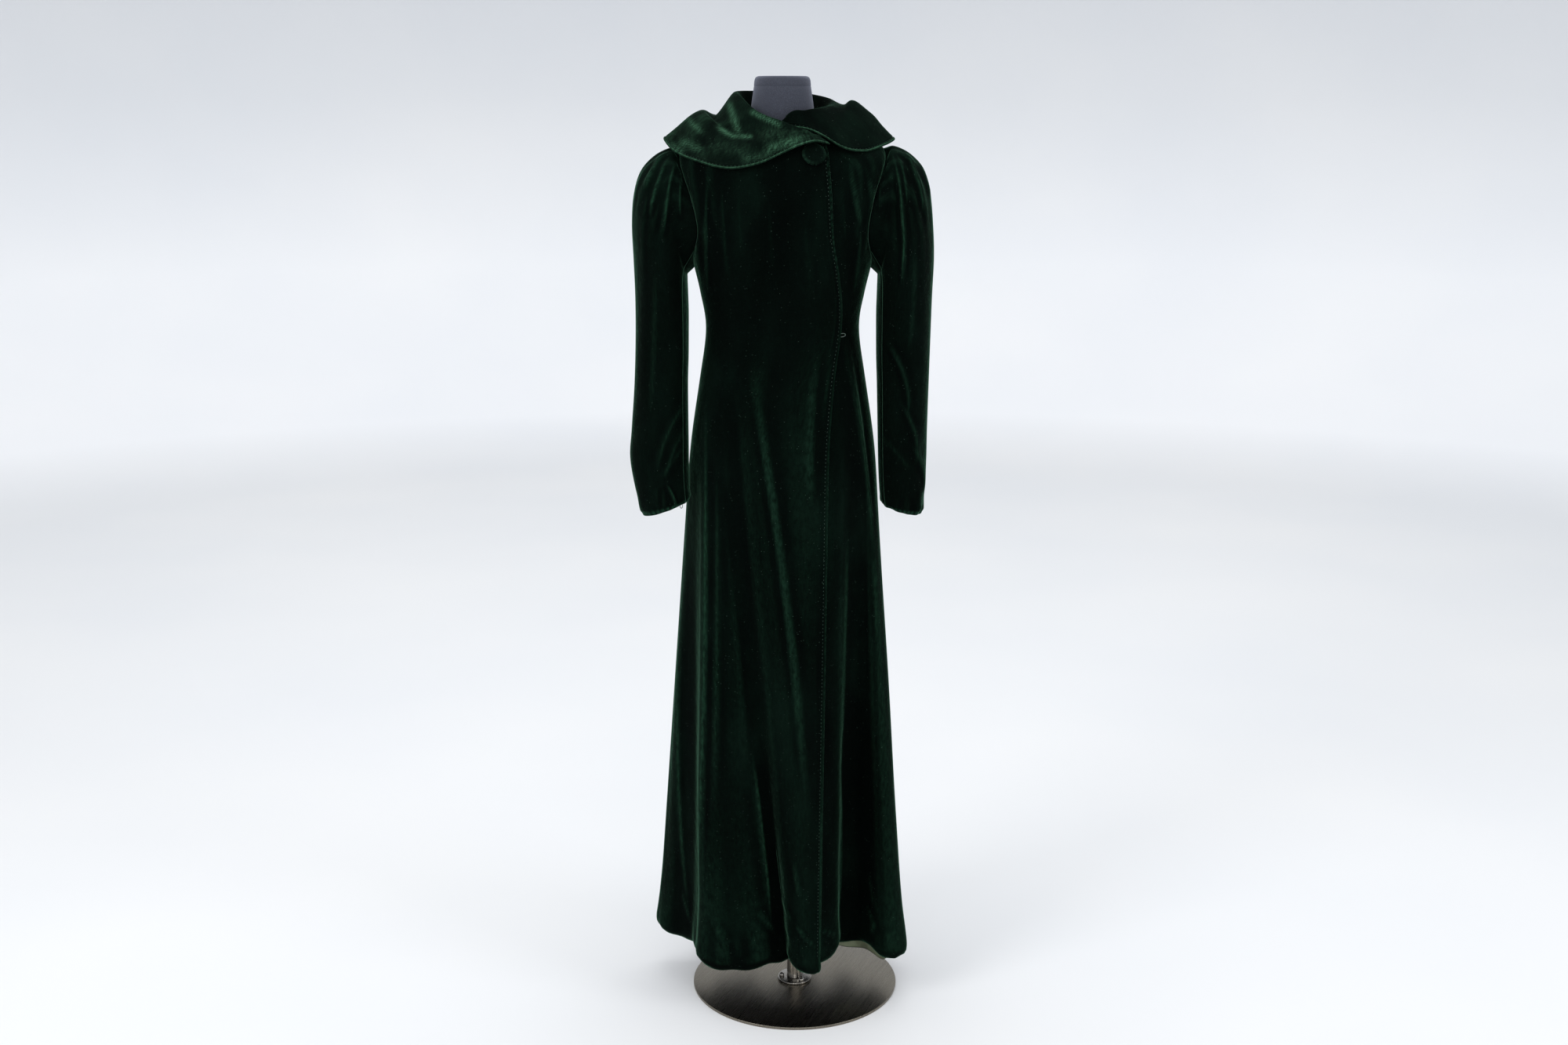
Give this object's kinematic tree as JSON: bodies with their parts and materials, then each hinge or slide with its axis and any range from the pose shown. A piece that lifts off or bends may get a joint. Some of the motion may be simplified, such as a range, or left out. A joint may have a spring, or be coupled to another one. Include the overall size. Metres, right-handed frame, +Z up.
{
  "type": "velvet coat on a dress form",
  "caption": "Long lapped velvet coat with a draped turned-down collar, pleated sleeve heads and a fluted skirt, worn by a limbless dress form on a steel pole with a round base.",
  "frame": {"origin": "centre of the base plate's underside, on the pole's axis", "axes": "+Z up along the pole; the coat's front faces -Y; +X to the viewer's right, the wearer's left"},
  "size_m": [0.496, 0.36, 1.568],
  "materials": {
    "velvet": "dark green velvet with a pale sheen at grazing angles",
    "thread": "pale green sewing thread",
    "lining": "sage satin lining",
    "jersey": "slate cotton jersey stretched over a padded form",
    "steel": "brushed"
  },
  "bodies": {
    "root": {"right_front": "velvet", "left_front": "velvet", "back": "velvet", "right_sleeve_top": "velvet", "right_sleeve_under": "velvet", "left_sleeve_top": "velvet", "left_sleeve_under": "velvet", "collar": "velvet", "button": "velvet", "waist_loop": "thread", "cuff_loop": "thread", "hem_lining": "lining", "form_torso": "jersey", "form_neck": "jersey", "pole": "steel", "flange": "steel", "flange_screw_1": "steel", "flange_screw_2": "steel", "flange_screw_3": "steel", "base_plate": "steel"}
  },
  "joints": []
}
